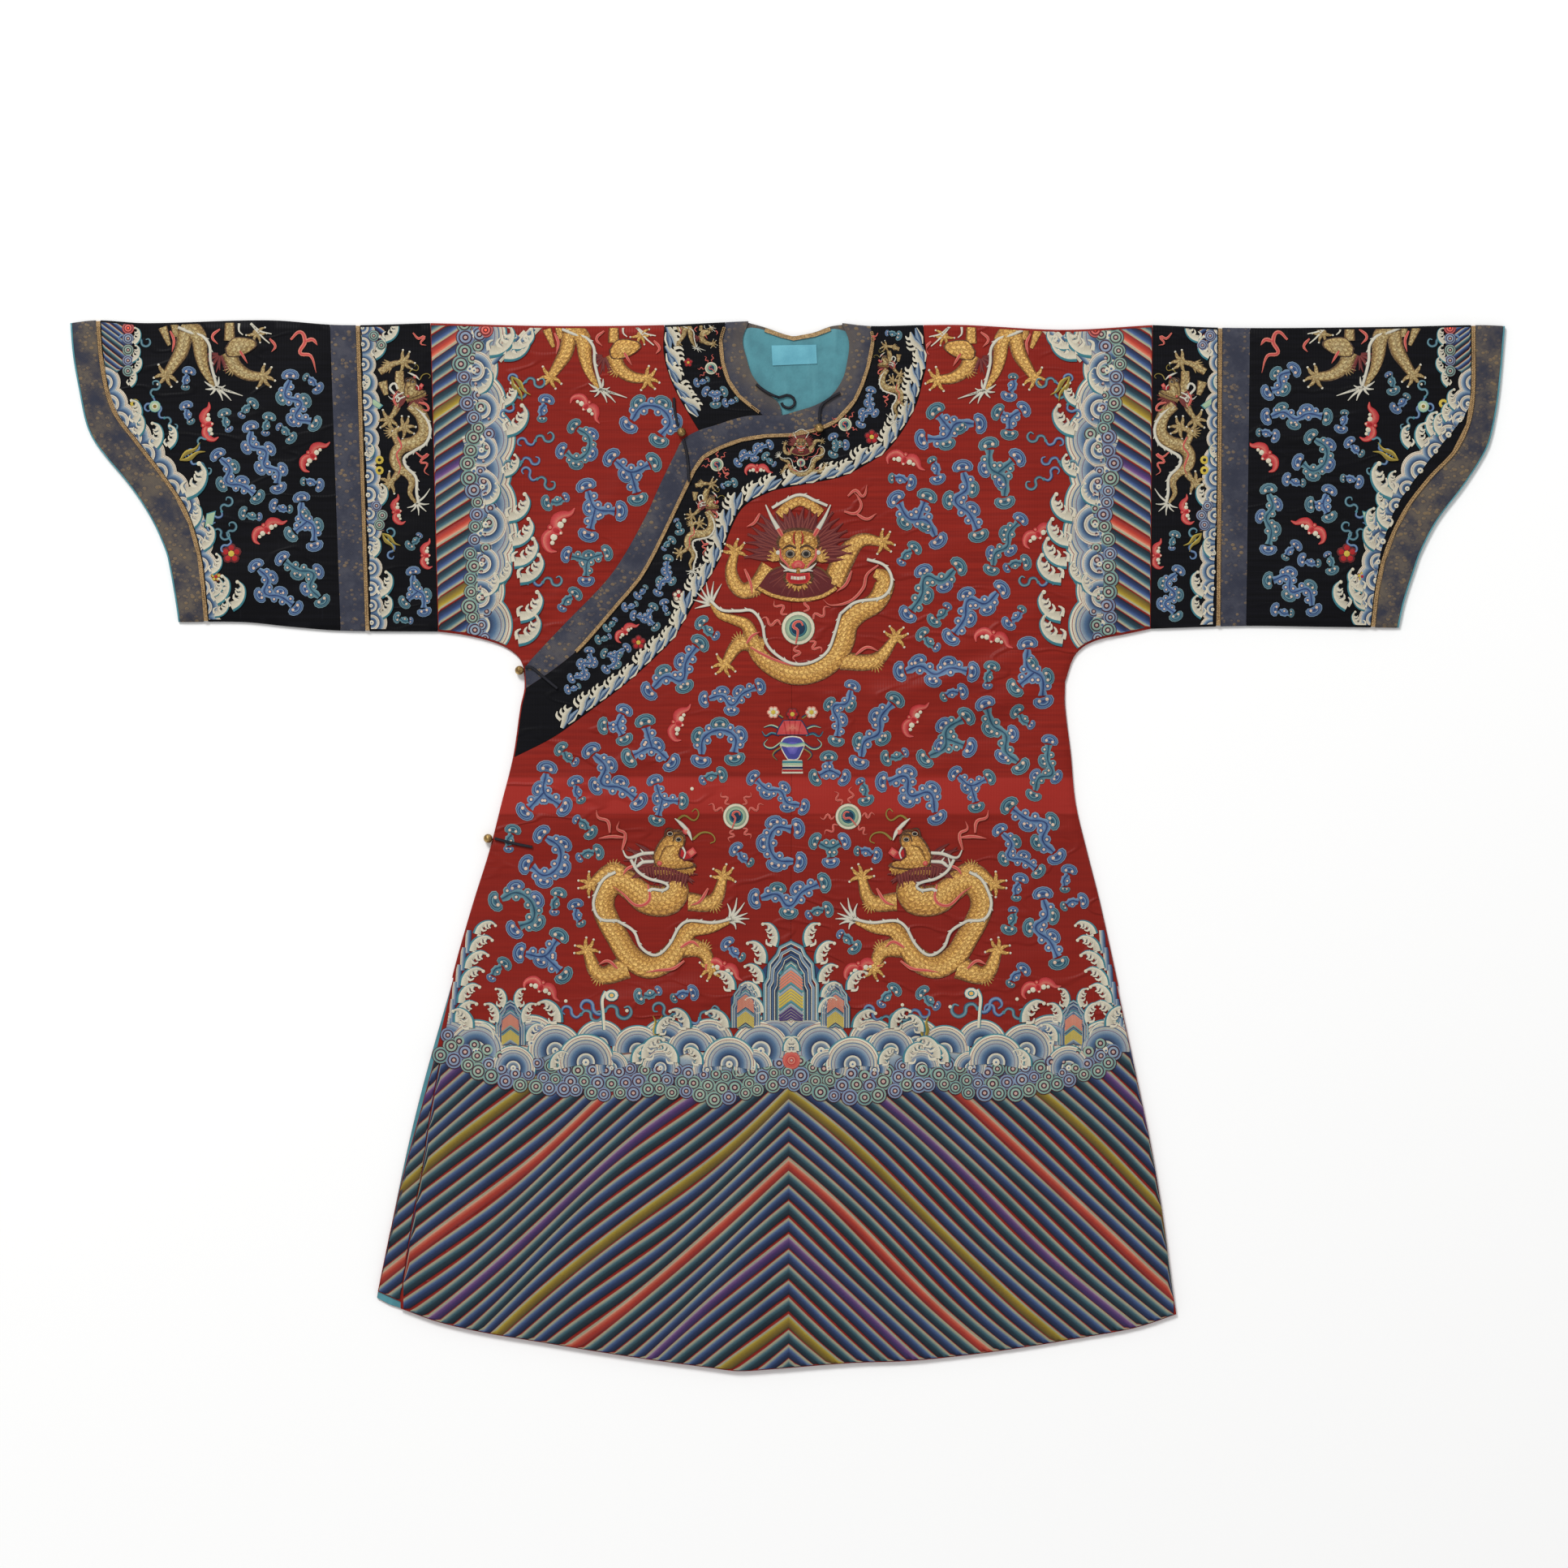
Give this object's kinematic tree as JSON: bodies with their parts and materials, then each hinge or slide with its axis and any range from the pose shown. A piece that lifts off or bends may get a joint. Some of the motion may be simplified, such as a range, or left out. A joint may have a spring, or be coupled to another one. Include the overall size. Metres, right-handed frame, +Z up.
{
  "type": "chinese dragon robe",
  "caption": "Formal silk dragon robe laid flat, front up: wide horseshoe-shaped sleeves, curved side-closing overlap, round neck with black collar border, side vents and striped wave hem.",
  "frame": {"origin": "bottom centre of the robe's box, on the table it lies on", "axes": "+X along the sleeves towards the wearer's left, +Y towards the neck, +Z up off the table"},
  "size_m": [1.5018, 1.0991, 0.0189],
  "materials": {
    "red_silk": "lustrous red silk satin covered in couched gold and satin-stitch embroidery",
    "black_silk": "near-black silk satin with embroidery",
    "grey_brocade": "grey-blue silk brocade with brown-gold flecks",
    "gold_braid": "matt gold thread braid",
    "turquoise_silk": "plain-weave turquoise silk lining",
    "gilt_brass": "worn gilt brass",
    "black_cord": "twisted black silk cord"
  },
  "bodies": {
    "root": {"body_left": "red_silk", "body_right": "red_silk", "overlap_front": "red_silk", "collar_border": "black_silk", "left_lower_sleeve": "black_silk", "left_sleeve_band": "black_silk", "right_lower_sleeve": "black_silk", "right_sleeve_band": "black_silk", "neck_band": "grey_brocade", "left_cuff_border": "grey_brocade", "left_sleeve_strip": "grey_brocade", "right_cuff_border": "grey_brocade", "right_sleeve_strip": "grey_brocade", "neck_piping": "gold_braid", "under_neck_piping": "gold_braid", "back_neck_binding": "gold_braid", "left_cuff_piping": "gold_braid", "left_sleeve_piping": "gold_braid", "right_cuff_piping": "gold_braid", "right_sleeve_piping": "gold_braid", "neck_lining": "turquoise_silk", "label_patch": "turquoise_silk", "vent_lining": "turquoise_silk", "left_cuff_edge": "turquoise_silk", "right_cuff_edge": "turquoise_silk", "button_neck": "gilt_brass", "button_shoulder": "gilt_brass", "button_underarm": "gilt_brass", "button_side": "gilt_brass", "neck_loop": "black_cord", "neck_tail": "black_cord", "shoulder_tail": "black_cord", "shoulder_loop": "black_cord", "underarm_loop": "black_cord", "side_loop": "black_cord"}
  },
  "joints": []
}
